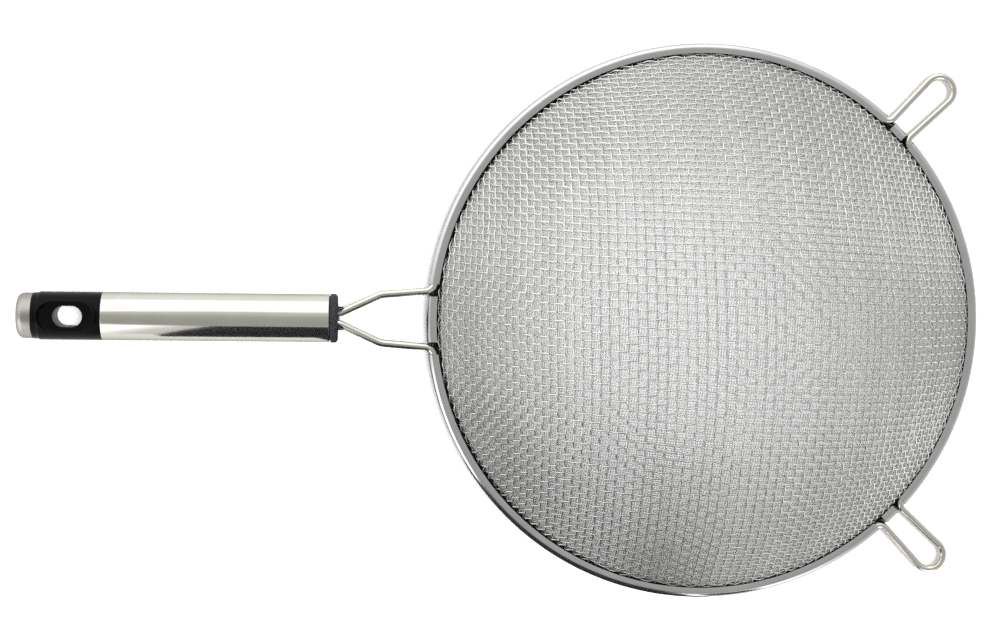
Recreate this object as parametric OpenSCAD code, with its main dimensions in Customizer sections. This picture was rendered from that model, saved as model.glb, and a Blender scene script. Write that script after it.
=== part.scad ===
// Double sieve strainer: a fine and a coarse wire cloth dome in one rolled rim,
// on a bent wire frame with a fork, two hooks and a steel tube handle.
// The origin is on the dome's axis in the plane of the ring wire. +Z points up
// through the crown of the dome, and the handle lies along -X.

/* [Rim] */
// Outside diameter of the rim
rim_d = 260; // [256:1:264]
// Width of the rim's upper face
rim_face_w = 4.7; // [4.4:0.1:5.2]
// Width of the rim's lower face
rim_foot_w = 5.4; // [5:0.1:6]
// Thickness of the rim strip
rim_strip_t = 0.6; // [0.5:0.1:0.7]
// Length of the rim between the fork's two notches
fork_land = 21.3; // [20:0.1:22]
// Width of each notch at the fork
fork_notch_w = 5.75; // [5:0.05:7]
// Length of the rim between a hook's two notches
hook_land = 7.4; // [7:0.1:8]
// Width of each notch at a hook
hook_notch_w = 4.9; // [4.7:0.05:6]

/* [Frame wire] */
// Diameter of the frame wire
wire_d = 3.4; // [3.2:0.1:3.5]
// Distance of each tail from the handle's axis
tail_y = 2.3; // [2:0.1:2.8]
// Length of each tail inside the handle
tail_len = 30; // [20:1:34]
// Slant of the fork where it leaves the collar
fork_slant = 25; // [22:1:27]
// Slant of the prongs where they meet the rim
prong_slant = 4.6; // [3:0.2:6]
// Distance from the handle's axis at which a prong straightens
prong_y = 11.3; // [10.8:0.1:11.6]
// Bend radius of the two corners of a prong
elbow_r = 6; // [5:0.5:7]
// Bend radius where a prong turns into the rim
prong_turn_r = 4.5; // [4:0.25:5]

/* [Hooks] */
// Angle of each hook from the long axis
hook_angle = 45; // [43:0.5:48]
// Distance from the dome's axis to the centre of a hook's round end
hook_reach = 155; // [150:0.5:160]
// Bend radius of a hook's round end, at the middle of the wire
hook_end_r = 6.85; // [6.6:0.05:7.2]
// Taper of a hook's legs towards the rim
hook_taper = 2.2; // [1.5:0.1:2.5]
// Bend radius where a hook's leg turns into the rim
hook_turn_r = 3.5; // [3:0.25:4]

/* [Mesh domes] */
// Radius of the coarse cloth at the rim
dome_r = 123.8; // [123.5:0.1:124]
// Height of the coarse cloth's crown
dome_h = 88.5; // [80:0.5:95]
// Fullness of the dome's crown
dome_crown = 2.27; // [2.1:0.01:2.4]
// Fullness of the dome's shoulder
dome_shoulder = 1.15; // [1.1:0.01:1.3]
// Thickness of the coarse cloth
coarse_t = 0.8; // [0.7:0.05:0.9]
// Thickness of the fine cloth
fine_t = 0.5; // [0.4:0.05:0.5]
// Width of the folded edge of each cloth
fold_w = 4.4; // [4:0.1:4.8]

/* [Handle] */
// Outside diameter of the tube
tube_d = 22.2; // [21.5:0.1:23]
// Wall of the tube
tube_wall = 0.8; // [0.6:0.1:1]
// Front end of the tube
tube_front_x = -175; // [-176:0.1:-174]
// Length of the tube
tube_len = 104; // [95:0.1:110]
// Diameter of the front collar
collar_d = 22.7; // [22.5:0.1:24]
// Length of the front collar outside the tube
collar_len = 4; // [3.5:0.1:5.5]
// Width of the groove behind the collar's flange
collar_groove = 0.6; // [0.4:0.1:1]
// Length of the two guides in front of the collar
guide_len = 2.6; // [2:0.1:3]
// Distance from one guide's outer side to the other's
guide_w = 10.8; // [10.4:0.1:12]
// Height of the guides
guide_h = 2.6; // [2:0.1:3]
// Length of the plug inside the tube
plug_len = 36; // [35:1:40]
// Length of the black sleeve behind the tube
sleeve_len = 31.3; // [31:0.1:36]
// Length of the sleeve's spigot inside the tube
spigot_len = 22; // [15:1:30]
// Length of the hanging hole
hole_len = 13.5; // [12:0.1:15]
// Width of the hanging hole
hole_w = 9.6; // [8:0.1:11]
// Length of the flattened oval round the hanging hole
oval_len = 27.6; // [25:0.1:28]
// Height of the flattened oval above the axis
oval_z = 8.4; // [8:0.1:9]
// Diameter of the end cap
cap_d = 21; // [20.4:0.1:21.2]
// Length of the end cap
cap_len = 7; // [6:0.1:8]
// Wall of the end cap
cap_wall = 0.8; // [0.6:0.1:1]
// Rounding of the end cap's edge
cap_round = 3.2; // [2.5:0.1:3.5]

/* [Hidden] */

$fn = 64;
over = 1;                 // how far a cutting shape runs past what it cuts
fit_gap = 0.05;           // gap between faces that touch on the real object
arc_steps = 6;            // points on each rounded corner of an outline
dome_steps = 36;          // rings of facets on each dome

rim_r = rim_d / 2;
ring_clear = 0.2;         // gap between the ring wire and the rim strip
ring_r = rim_r - rim_strip_t - ring_clear - wire_d / 2;
rim_top = wire_d / 2 + ring_clear + rim_strip_t;
fold_top = -wire_d / 2 - 0.1;
coarse_fold_z = fold_top - coarse_t;
fine_fold_z = coarse_fold_z - fit_gap - fine_t;
rim_bottom = fine_fold_z - fit_gap - rim_strip_t;
rim_round = 2.4;          // outer corners of the rim, bent round the ring wire
notch_floor = -wire_d / 2 - 0.05;
wire_sides = 12;          // sides of the frame wire
bend_step = 9;            // degrees between rings in a bend
ring_step = 3;            // degrees between rings round the rim

tail_x = tube_front_x - tail_len;
collar_front_x = tube_front_x + collar_len;
tube_rear_x = tube_front_x - tube_len;
sleeve_front_x = tube_rear_x - fit_gap;
sleeve_rear_x = sleeve_front_x - sleeve_len;
cap_front_x = sleeve_rear_x - 0.15;
cap_rear_x = cap_front_x - cap_len;
sleeve_step_d = tube_d - 0.9;
sleeve_step_len = 2.6;
cap_spigot_d = cap_d - 2 * cap_wall - 2 * fit_gap;
cap_spigot_len = cap_len - cap_wall - 1.2;
hole_x = sleeve_front_x - 15.1;
tube_bore_d = tube_d - 2 * tube_wall;
plug_d = tube_bore_d - 2 * fit_gap;
tail_bore_d = wire_d + 2 * fit_gap;

// ---- Plane geometry ----
function heading(a) = [cos(a), sin(a)];
function left_of(a) = [-sin(a), cos(a)];
function angle_of(p) = atan2(p[1], p[0]);

// Centre of the bend that leaves the line from p on heading a, on its side (1 left, -1 right),
// and runs into the ring from outside.
function turn_centre(p, a, side, r) =
    let (w = p + side * r * left_of(a), along = w * heading(a))
    w + (-along - sqrt(along * along - w * w + pow(ring_r + r, 2))) * heading(a);

// Points of a rounded corner about centre c, from angle a0 to a1.
function corner(c, r, a0, a1) = [for (i = [0 : arc_steps]) c + r * heading(a0 + (a1 - a0) * i / arc_steps)];

// Points along an arc about c from angle a0 to a1, no more than step degrees apart.
function arc_path(c, r, a0, a1, step) =
    let (n = ceil(abs(a1 - a0) / step))
    [for (i = [0 : n]) c + r * heading(a0 + (a1 - a0) * i / n)];

function backwards(v) = [for (i = [len(v) - 1 : -1 : 0]) v[i]];
function mirrored_y(v) = [for (p = v) [p[0], -p[1]]];
function turned(v, a) = [for (p = v) p[0] * heading(a) + p[1] * left_of(a)];

// ---- Route of the frame wire, in the plane of the ring ----
// The fork's upper half, from the tail to the ring.
elbow_1 = [collar_front_x + 0.6, tail_y];
elbow_1_cut = elbow_r * tan(fork_slant / 2);
elbow_1_centre = elbow_1 + [-elbow_1_cut, elbow_r];
elbow_2 = elbow_1 + (prong_y - tail_y) / sin(fork_slant) * heading(fork_slant);
elbow_2_cut = elbow_r * tan((fork_slant - prong_slant) / 2);
elbow_2_centre = elbow_2 + elbow_2_cut * heading(prong_slant) - elbow_r * left_of(prong_slant);
prong_turn = turn_centre(elbow_2, prong_slant, 1, prong_turn_r);
prong_meets = angle_of(prong_turn);

fork_route = concat(
    [[tail_x, tail_y]],
    arc_path(elbow_1_centre, elbow_r, -90, fork_slant - 90, bend_step),
    arc_path(elbow_2_centre, elbow_r, 90 + fork_slant, 90 + prong_slant, bend_step),
    arc_path(prong_turn, prong_turn_r, prong_slant - 90, prong_meets - 180, bend_step)
);

// One hook on the X axis, round its end from the upper leg to the lower one.
hook_leg_top = [hook_reach, 0] + hook_end_r * heading(90 + hook_taper);
hook_turn = turn_centre(hook_leg_top, 180 + hook_taper, -1, hook_turn_r);
hook_meets = angle_of(hook_turn);
hook_foot = arc_path(hook_turn, hook_turn_r, 180 + hook_meets, 270 + hook_taper, bend_step);
hook_route = concat(
    hook_foot,
    arc_path([hook_reach, 0], hook_end_r, 90 + hook_taper, -90 - hook_taper, bend_step),
    backwards(mirrored_y(hook_foot))
);

// The stretch of ring between two angles, without the end points it shares with the bends.
function ring_path(a0, a1) =
    let (path = arc_path([0, 0], ring_r, a0, a1, ring_step))
    [for (i = [1 : len(path) - 2]) path[i]];

half_route = concat(
    fork_route,
    ring_path(prong_meets, hook_angle + hook_meets),
    turned(hook_route, hook_angle),
    ring_path(hook_angle - hook_meets, 0),
    [[ring_r, 0]]
);
other_half = mirrored_y([for (i = [0 : len(half_route) - 2]) half_route[i]]);
wire_route = concat(half_route, backwards(other_half));

// A round wire of diameter d swept along a flat route.
module wire(route, d) {
    last = len(route) - 1;
    rings = [for (i = [0 : last])
        let (along = route[min(i + 1, last)] - route[max(i - 1, 0)],
             side = [-along[1], along[0]] / norm(along))
        for (k = [0 : wire_sides - 1])
            let (a = 360 * k / wire_sides, out = d / 2 * cos(a))
            [route[i][0] + out * side[0], route[i][1] + out * side[1], d / 2 * sin(a)]];
    skin = [for (i = [0 : last - 1], k = [0 : wire_sides - 1])
        let (next = (k + 1) % wire_sides, here = i * wire_sides)
        [here + k, here + next, here + wire_sides + next, here + wire_sides + k]];
    first_end = [for (k = [wire_sides - 1 : -1 : 0]) k];
    last_end = [for (k = [0 : wire_sides - 1]) last * wire_sides + k];
    polyhedron(points = rings, faces = concat(skin, [first_end, last_end]), convexity = 8);
}

module frame_wire() {
    color([0.74, 0.72, 0.68]) wire(wire_route, wire_d);
}

// ---- Rim ----
// Outline of the strip: upper face, round outer corners, wall and lower face.
function rim_outline() =
    let (o = rim_round, i = rim_round - rim_strip_t, wall = rim_r - rim_strip_t)
    concat(
        [[rim_r - rim_face_w, rim_top]],
        corner([rim_r - o, rim_top - o], o, 90, 0),
        corner([rim_r - o, rim_bottom + o], o, 0, -90),
        [[rim_r - rim_foot_w, rim_bottom], [rim_r - rim_foot_w, rim_bottom + rim_strip_t]],
        corner([wall - i, rim_bottom + rim_strip_t + i], i, -90, 0),
        corner([wall - i, rim_top - rim_strip_t - i], i, 0, 90),
        [[rim_r - rim_face_w, rim_top - rim_strip_t]]
    );

// A cut through the upper face and the wall, centred on the X axis between two lands.
module notch_pair(land, w) {
    depth = 12;
    for (side = [0, 1])
        mirror([0, side, 0])
            translate([rim_r - depth + over, land / 2, notch_floor])
                cube([depth, w, rim_top - notch_floor + over]);
}

module rim_channel() {
    color([0.60, 0.61, 0.61])
        difference() {
            rotate_extrude() polygon(rim_outline());
            rotate([0, 0, 180]) notch_pair(fork_land, fork_notch_w);
            for (a = [-hook_angle, hook_angle])
                rotate([0, 0, a]) notch_pair(hook_land, hook_notch_w);
        }
}

// ---- Mesh domes ----
// A point of the dome's outer outline at parameter a, from the crown (0) to the rim (90).
function dome_point(a) = [dome_r * pow(sin(a), 2 / dome_crown), dome_h * pow(cos(a), 2 / dome_shoulder)];

function dome_normal(a) =
    let (p = dome_point(a),
         x = dome_crown / dome_r * pow(p[0] / dome_r, dome_crown - 1),
         z = dome_shoulder / dome_h * pow(p[1] / dome_h, dome_shoulder - 1))
    [x, z] / norm([x, z]);

// The dome's outline, sunk below its outer face.
function dome_outline(sunk) = [for (i = [0 : dome_steps]) let (a = 90 * i / dome_steps)
    i == 0 ? [0, dome_h - sunk] : dome_point(a) - sunk * dome_normal(a)];

// One cloth: a shell from outer to inner depth, with its edge folded outwards at fold_z.
module cloth(outer, inner, fold_z) {
    t = inner - outer;
    edge_r = dome_r - outer + fold_w;
    rotate_extrude()
        polygon(concat(
            dome_outline(outer),
            [[dome_r - outer, fold_z + t], [edge_r, fold_z + t], [edge_r, fold_z], [dome_r - inner, fold_z]],
            backwards(dome_outline(inner))
        ));
}

module coarse_mesh() {
    color([0.70, 0.69, 0.67]) cloth(0, coarse_t, coarse_fold_z);
}

module fine_mesh() {
    depth = coarse_t + fit_gap;
    color([0.80, 0.80, 0.79]) cloth(depth, depth + fine_t, fine_fold_z);
}

// ---- Handle ----
module along_x(x) {
    translate([x, 0, 0]) rotate([0, 90, 0]) children();
}

// An upright slot with round ends, centred at x.
module upright_slot(x, length, w, z0, z1) {
    half = (length - w) / 2;
    for (side = [-1, 1])
        translate([x + side * half, 0, z0]) cylinder(h = z1 - z0, d = w);
    translate([x - half, -w / 2, z0]) cube([2 * half, w, z1 - z0]);
}

module handle_tube() {
    color([0.82, 0.81, 0.79])
        difference() {
            along_x(tube_rear_x) cylinder(h = tube_len, d = tube_d);
            along_x(tube_rear_x - over) cylinder(h = tube_len + 2 * over, d = tube_bore_d);
        }
}

module hanger_sleeve() {
    top = tube_d / 2 + over;
    oval_w = 2 * sqrt(pow(tube_d / 2, 2) - oval_z * oval_z) + 0.4;
    color([0.05, 0.05, 0.05])
        difference() {
            union() {
                along_x(sleeve_rear_x - cap_spigot_len)
                    cylinder(h = cap_spigot_len + over, d = cap_spigot_d);
                along_x(sleeve_rear_x) cylinder(h = sleeve_step_len, d = sleeve_step_d);
                along_x(sleeve_rear_x + sleeve_step_len)
                    cylinder(h = sleeve_len - sleeve_step_len, d = tube_d);
                along_x(sleeve_front_x - over)
                    cylinder(h = spigot_len + over, d = plug_d);
            }
            upright_slot(hole_x, hole_len, hole_w, -top, top);
            upright_slot(hole_x, oval_len, oval_w, oval_z, top);
            upright_slot(hole_x, oval_len, oval_w, -top, -oval_z);
        }
}

module end_cap() {
    outer_r = cap_d / 2;
    inner_r = outer_r - cap_wall;
    inner_round = cap_round - cap_wall;
    color([0.66, 0.64, 0.60])
        along_x(cap_rear_x)
            rotate_extrude()
                polygon(concat(
                    [[0, 0]],
                    corner([outer_r - cap_round, cap_round], cap_round, -90, 0),
                    [[outer_r, cap_len], [inner_r, cap_len]],
                    corner([inner_r - inner_round, cap_round], inner_round, 0, -90),
                    [[0, cap_wall]]
                ));
}

// The way of one prong through its guide, as a flat outline half a wire and a little more on each side.
module guide_way(half) {
    bend = half * tan(fork_slant / 2);
    inner = elbow_1 + [-bend, half];
    outer = elbow_1 + [bend, -half];
    run = 2 * guide_len * heading(fork_slant);
    back_x = collar_front_x - 2 * over;
    polygon([[back_x, tail_y - half], outer, outer + run, inner + run, inner, [back_x, tail_y + half]]);
}

// The guides in front of the collar: a tab outside each prong and a short web between them.
module guides() {
    web_len = 0.8;
    way_gap = 0.15;
    linear_extrude(guide_h, center = true)
        difference() {
            translate([collar_front_x - over, -guide_w / 2]) square([guide_len + over, guide_w]);
            translate([collar_front_x + web_len, -tail_y]) square([guide_len, 2 * tail_y]);
            for (side = [0, 1])
                mirror([0, side]) guide_way(wire_d / 2 + way_gap);
        }
}

module front_collar() {
    edge = 0.8;
    color([0.13, 0.13, 0.14]) {
        difference() {
            union() {
                along_x(tube_front_x - plug_len) cylinder(h = plug_len + 2 * over, d = plug_d);
                along_x(tube_front_x + collar_groove)
                    cylinder(h = collar_len - collar_groove - edge, d = collar_d);
                along_x(collar_front_x - edge)
                    cylinder(h = edge, d1 = collar_d, d2 = collar_d - 2 * edge);
            }
            for (side = [-1, 1])
                translate([0, side * tail_y, 0])
                    along_x(tail_x) cylinder(h = tail_len + collar_len + over, d = tail_bore_d);
        }
        guides();
    }
}

handle_tube();
hanger_sleeve();
end_cap();
front_collar();
frame_wire();
rim_channel();
coarse_mesh();
fine_mesh();
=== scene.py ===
"""The double sieve strainer's looks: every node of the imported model, rebuilt in detail in its fixed frame.

Everything is in metres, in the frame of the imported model. +Z points up through the dome's crown and the
handle lies along -X. Lengths are written in millimetres times MM.
"""

import math

import bmesh
import bpy
import numpy as np
from mathutils import Matrix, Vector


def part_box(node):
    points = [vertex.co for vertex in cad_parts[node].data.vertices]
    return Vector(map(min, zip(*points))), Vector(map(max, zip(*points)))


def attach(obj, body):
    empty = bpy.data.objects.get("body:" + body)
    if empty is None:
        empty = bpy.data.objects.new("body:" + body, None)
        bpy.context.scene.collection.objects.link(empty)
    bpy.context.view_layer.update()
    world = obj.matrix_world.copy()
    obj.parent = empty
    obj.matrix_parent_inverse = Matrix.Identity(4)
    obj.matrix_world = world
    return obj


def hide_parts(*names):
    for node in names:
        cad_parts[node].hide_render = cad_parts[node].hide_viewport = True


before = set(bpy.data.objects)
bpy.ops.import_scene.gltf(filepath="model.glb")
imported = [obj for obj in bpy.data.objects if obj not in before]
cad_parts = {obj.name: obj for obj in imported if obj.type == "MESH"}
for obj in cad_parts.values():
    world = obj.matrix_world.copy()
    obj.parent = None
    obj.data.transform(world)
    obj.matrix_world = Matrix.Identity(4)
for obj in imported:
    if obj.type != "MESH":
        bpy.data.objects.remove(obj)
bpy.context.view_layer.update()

MM = 0.001

# ---------------------------------------------------------------- sizes
rim_low, rim_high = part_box("rim_channel")
RIM_R = rim_high.x
RIM_TOP = rim_high.z
RIM_BOTTOM = rim_low.z
RIM_FACE_W = 4.7 * MM
RIM_FOOT_W = 5.4 * MM
RIM_STRIP_T = 0.6 * MM
RIM_ROUND = 2.4 * MM
FORK_LAND = 21.3 * MM
FORK_NOTCH_W = 5.75 * MM
HOOK_LAND = 7.4 * MM
HOOK_NOTCH_W = 4.9 * MM

WIRE_D = 3.4 * MM
RING_R = RIM_R - RIM_STRIP_T - 0.2 * MM - WIRE_D / 2
TAIL_Y = 2.3 * MM
FORK_SLANT = math.radians(25)
PRONG_SLANT = math.radians(4.6)
PRONG_Y = 11.3 * MM
ELBOW_R = 6 * MM
SHOULDER_R = 10 * MM
PRONG_TURN_R = 4.5 * MM
HOOK_ANGLE = math.radians(45)
HOOK_REACH = 155 * MM
HOOK_END_R = 6.85 * MM
HOOK_TAPER = math.radians(2.2)
HOOK_TURN_R = 3.5 * MM

DOME_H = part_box("coarse_mesh")[1].z
DOME_R = 123.8 * MM
DOME_CROWN = 2.27
DOME_SHOULDER = 1.15

tube_low, tube_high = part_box("handle_tube")
sleeve_low, sleeve_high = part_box("hanger_sleeve")
cap_low, cap_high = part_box("end_cap")
collar_low, collar_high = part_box("front_collar")
TUBE_R = tube_high.z
TUBE_WALL = 0.8 * MM
COLLAR_R = collar_high.z
CAP_R = cap_high.z
SLEEVE_FRONT = tube_low.x - 0.05 * MM
SLEEVE_REAR = cap_high.x + 0.15 * MM
COLLAR_REAR = tube_high.x + 0.6 * MM
GUIDE_LEN = 2.6 * MM
GUIDE_W = 10.8 * MM
GUIDE_H = 2.6 * MM
COLLAR_FRONT = collar_high.x - GUIDE_LEN
HOLE_X = SLEEVE_FRONT - 15.1 * MM
HOLE_LEN = 13.5 * MM
HOLE_W = 9.6 * MM
POCKET_Z = 8.4 * MM
POCKET_LEN = 24.9 * MM
POCKET_W = 14.6 * MM
PLUG_R = TUBE_R - TUBE_WALL - 0.05 * MM


# ---------------------------------------------------------------- camera
def make_camera():
    """A camera over the handle's front end, looking down at the strainer, tilted a little off its axis."""
    tilt_x, tilt_y, roll = (math.radians(a) for a in (2.68, 3.45, -0.58))
    distance = 938.2 * MM
    to_the_left = 95.5 * MM
    to_the_top = 5.8 * MM
    turn = Matrix.Rotation(-tilt_x, 4, "X") @ Matrix.Rotation(-tilt_y, 4, "Y")
    turn = turn @ Matrix.Rotation(-roll, 4, "Z")
    data = bpy.data.cameras.new("camera")
    data.sensor_width = 36
    data.lens = 72
    data.clip_start = 0.05
    data.clip_end = 20
    camera = bpy.data.objects.new("camera", data)
    camera.matrix_world = turn @ Matrix.Translation((-to_the_left, to_the_top, distance))
    bpy.context.scene.collection.objects.link(camera)
    bpy.context.scene.camera = camera


make_camera()


# ---------------------------------------------------------------- mesh helpers
FEWEST_FACES = 100


def add_object(name, mesh):
    obj = bpy.data.objects.new(name, mesh)
    bpy.context.scene.collection.objects.link(obj)
    return obj


def smooth_shade(mesh, angle=None):
    """Smooth shading, with edges sharper than angle (in degrees) kept sharp."""
    mesh.shade_smooth()
    if angle is not None:
        mesh.set_sharp_from_angle(angle=math.radians(angle))


def mesh_from_arrays(name, verts, faces_by_size):
    """A mesh from an array of points and a list of face arrays, each with one number of corners."""
    mesh = bpy.data.meshes.new(name)
    loops = np.concatenate([f.ravel() for f in faces_by_size]).astype(np.int32)
    sizes = np.concatenate([np.full(len(f), f.shape[1], np.int32) for f in faces_by_size])
    starts = np.concatenate([[0], np.cumsum(sizes)[:-1]]).astype(np.int32)
    mesh.vertices.add(len(verts))
    mesh.vertices.foreach_set("co", np.ascontiguousarray(verts, np.float32).ravel())
    mesh.loops.add(len(loops))
    mesh.loops.foreach_set("vertex_index", loops)
    mesh.polygons.add(len(sizes))
    mesh.polygons.foreach_set("loop_start", starts)
    mesh.update(calc_edges=True)
    mesh.validate()
    return mesh


class Skin:
    """Collects closed tubes and turns them into one mesh."""

    def __init__(self):
        self.verts, self.quads, self.caps, self.shades, self.count = [], [], [], [], 0

    def tube(self, rings, shade=0):
        """Adds one closed tube through rings, an array of (rings, sides, 3). shade numbers its material."""
        n, sides = rings.shape[:2]
        here = self.count + np.arange(n * sides).reshape(n, sides)
        nxt = np.roll(here, -1, axis=1)
        quads = np.stack([here[:-1], nxt[:-1], nxt[1:], here[1:]], -1).reshape(-1, 4)
        self.verts.append(rings.reshape(-1, 3))
        self.quads.append(quads)
        self.caps.append(np.stack([here[0][::-1], here[-1]]))
        self.shades.append(shade)
        self.count += n * sides

    def face_shades(self):
        """The material number of each face, in the order of mesh()."""
        sizes = [len(quads) for quads in self.quads]
        return np.concatenate([np.repeat(self.shades, sizes), np.repeat(self.shades, 2)]).astype(np.int32)

    def mesh(self, name):
        return mesh_from_arrays(
            name, np.concatenate(self.verts), [np.concatenate(self.quads), np.concatenate(self.caps)]
        )


def unit(v):
    return v / np.maximum(np.linalg.norm(v, axis=-1, keepdims=True), 1e-12)


def swept_rings(path, up, radius, sides):
    """Rings of a round wire along path, an array of points. up is a direction that isn't along the path."""
    along = unit(np.gradient(path, axis=0))
    up = unit(up - (up * along).sum(-1, keepdims=True) * along)
    side = np.cross(up, along)
    turn = (np.arange(sides) + 0.5) * 2 * math.pi / sides
    return (
        path[:, None]
        + radius * np.cos(turn)[None, :, None] * up[:, None]
        + radius * np.sin(turn)[None, :, None] * side[:, None]
    )


def lathe(name, outline, steps, axis="Z"):
    """A solid of revolution about Z or X. outline is a closed loop of (radius, height) points."""
    outline = np.array(outline, float)
    n = len(outline)
    turn = np.arange(steps) * 2 * math.pi / steps
    radius, height = outline[:, 0], outline[:, 1]
    x = radius[None] * np.cos(turn)[:, None]
    y = radius[None] * np.sin(turn)[:, None]
    z = np.broadcast_to(height[None], x.shape)
    points = np.stack([x, y, z] if axis == "Z" else [z, x, y], -1).reshape(-1, 3)
    bm = bmesh.new()
    verts = [bm.verts.new(p) for p in points]
    for i in range(steps):
        j = (i + 1) % steps
        for k in range(n):
            m = (k + 1) % n
            bm.faces.new([verts[i * n + k], verts[j * n + k], verts[j * n + m], verts[i * n + m]])
    bmesh.ops.remove_doubles(bm, verts=bm.verts, dist=1e-7)
    bmesh.ops.dissolve_degenerate(bm, dist=1e-7, edges=bm.edges)
    bmesh.ops.recalc_face_normals(bm, faces=bm.faces)
    mesh = bpy.data.meshes.new(name)
    bm.to_mesh(mesh)
    bm.free()
    return add_object(name, mesh)


def rounded(corners, steps=5):
    """A closed outline with rounded corners. corners is a list of ((x, y), radius of the corner)."""
    points, radii = zip(*corners)
    out = []
    n = len(points)
    for i in range(n):
        here, r = np.array(points[i], float), radii[i]
        before, after = np.array(points[i - 1], float) - here, np.array(points[(i + 1) % n], float) - here
        if r <= 0:
            out.append(tuple(here))
            continue
        a, b = unit(before), unit(after)
        half = math.acos(max(-1.0, min(1.0, float(a @ b)))) / 2
        run = r / math.tan(half)
        centre = here + unit(a + b) * r / math.sin(half)
        start, end = here + a * run - centre, here + b * run - centre
        a0, a1 = math.atan2(start[1], start[0]), math.atan2(end[1], end[0])
        sweep = (a1 - a0 + math.pi) % (2 * math.pi) - math.pi
        for k in range(steps + 1):
            t = a0 + sweep * k / steps
            out.append((centre[0] + r * math.cos(t), centre[1] + r * math.sin(t)))
    return out


def slot_outline(length, width, steps):
    """A slot with round ends, as (x, y) points round its middle."""
    half, r = (length - width) / 2, width / 2
    turn = [math.pi * (k / steps - 0.5) for k in range(steps + 1)]
    right = [(half + r * math.cos(t), r * math.sin(t)) for t in turn]
    return right + [(-x, -y) for x, y in right]


def cut(obj, cutter):
    """Takes cutter away from obj and removes it. A cut that leaves almost nothing stops the script."""
    change = obj.modifiers.new("cut", "BOOLEAN")
    change.operation = "DIFFERENCE"
    change.solver = "EXACT"
    change.object = cutter
    graph = bpy.context.evaluated_depsgraph_get()
    mesh = bpy.data.meshes.new_from_object(obj.evaluated_get(graph))
    obj.modifiers.clear()
    old = obj.data
    obj.data = mesh
    mesh.name = obj.name
    bpy.data.meshes.remove(old)
    bpy.data.objects.remove(cutter)
    if len(mesh.polygons) < FEWEST_FACES:
        raise RuntimeError(f"cutting {obj.name} left almost nothing")


def piece(obj, node, material):
    """Gives obj its material and puts it on the one body in place of a CAD node, which it hides."""
    obj.data.materials.clear()
    obj.data.materials.append(material)
    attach(obj, "root")
    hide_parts(node)


# ---------------------------------------------------------------- materials
class Shader:
    """A node material with one Principled shader and short ways to add textures to it."""

    def __init__(self, name, **sockets):
        self.material = bpy.data.materials.new(name)
        self.material.use_nodes = True
        self.nodes = self.material.node_tree.nodes
        self.links = self.material.node_tree.links
        self.shader = self.nodes["Principled BSDF"]
        for socket, value in sockets.items():
            self.shader.inputs[socket.replace("_", " ")].default_value = value
        self.height = None

    def place(self, stretch=(1, 1, 1)):
        """Coordinates on the object, in millimetres, stretched along each axis."""
        where = self.nodes.new("ShaderNodeTexCoord")
        mapping = self.nodes.new("ShaderNodeMapping")
        mapping.inputs["Scale"].default_value = [s / MM for s in stretch]
        self.links.new(where.outputs["Object"], mapping.inputs["Vector"])
        return mapping.outputs["Vector"]

    def noise(self, scale, stretch=(1, 1, 1), detail=3, rough=0.5):
        """Noise with features of about 1 / scale millimetres."""
        texture = self.nodes.new("ShaderNodeTexNoise")
        texture.inputs["Scale"].default_value = scale
        texture.inputs["Detail"].default_value = detail
        texture.inputs["Roughness"].default_value = rough
        self.links.new(self.place(stretch), texture.inputs["Vector"])
        return texture.outputs["Fac"]

    def ramp(self, value, stops):
        """A colour or grey that follows value through stops, a list of (position, colour)."""
        ramp = self.nodes.new("ShaderNodeValToRGB")
        marks = ramp.color_ramp.elements
        while len(marks) < len(stops):
            marks.new(0.5)
        for mark, (position, colour) in zip(marks, stops):
            mark.position = position
            mark.color = (*colour, 1) if isinstance(colour, tuple) else (colour, colour, colour, 1)
        self.links.new(value, ramp.inputs["Fac"])
        return ramp.outputs["Color"]

    def drive(self, socket, output):
        self.links.new(output, self.shader.inputs[socket.replace("_", " ")])

    def bump(self, value, strength, depth):
        """Adds a bump of depth metres; several calls stack up."""
        bump = self.nodes.new("ShaderNodeBump")
        bump.inputs["Strength"].default_value = strength
        bump.inputs["Distance"].default_value = depth
        self.links.new(value, bump.inputs["Height"])
        if self.height is not None:
            self.links.new(self.height, bump.inputs["Normal"])
        self.height = bump.outputs["Normal"]
        self.drive("Normal", self.height)


def drawn_steel(name, dark, light, rough, lines, depth):
    """Steel with a fine grain, depth millimetres deep. lines says how dense it is along each axis."""
    steel = Shader(name, Metallic=1.0, IOR=2.5, Specular_Tint=(0.55, 0.55, 0.53, 1))
    grain = steel.noise(1.0, lines, 4, 0.6)
    cloud = steel.noise(0.06, (1, 1, 1), 2)
    steel.drive("Base Color", steel.ramp(cloud, [(0.3, dark), (0.7, light)]))
    steel.drive("Roughness", steel.ramp(grain, [(0.25, rough - 0.05), (0.75, rough + 0.07)]))
    steel.bump(grain, 0.25, depth * MM)
    return steel


def tube_steel():
    steel = drawn_steel("tube_steel", (0.74, 0.73, 0.67), (0.80, 0.79, 0.73), 0.11, (0.05, 9, 9), 0.004)
    steel.bump(steel.noise(0.05, (0.6, 2, 2), 2), 0.3, 0.05 * MM)
    return steel.material


def cap_steel():
    steel = drawn_steel("cap_steel", (0.42, 0.405, 0.38), (0.49, 0.475, 0.445), 0.33, (6, 6, 6), 0.01)
    return steel.material


def frame_steel():
    steel = drawn_steel("frame_steel", (0.74, 0.72, 0.655), (0.82, 0.80, 0.735), 0.15, (2, 2, 2), 0.004)
    return steel.material


def rim_steel():
    steel = drawn_steel("rim_steel", (0.68, 0.70, 0.71), (0.76, 0.78, 0.79), 0.15, (3, 3, 3), 0.005)
    steel.bump(steel.noise(0.045, (1, 1, 1), 2), 0.4, 0.25 * MM)
    return steel.material


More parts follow.
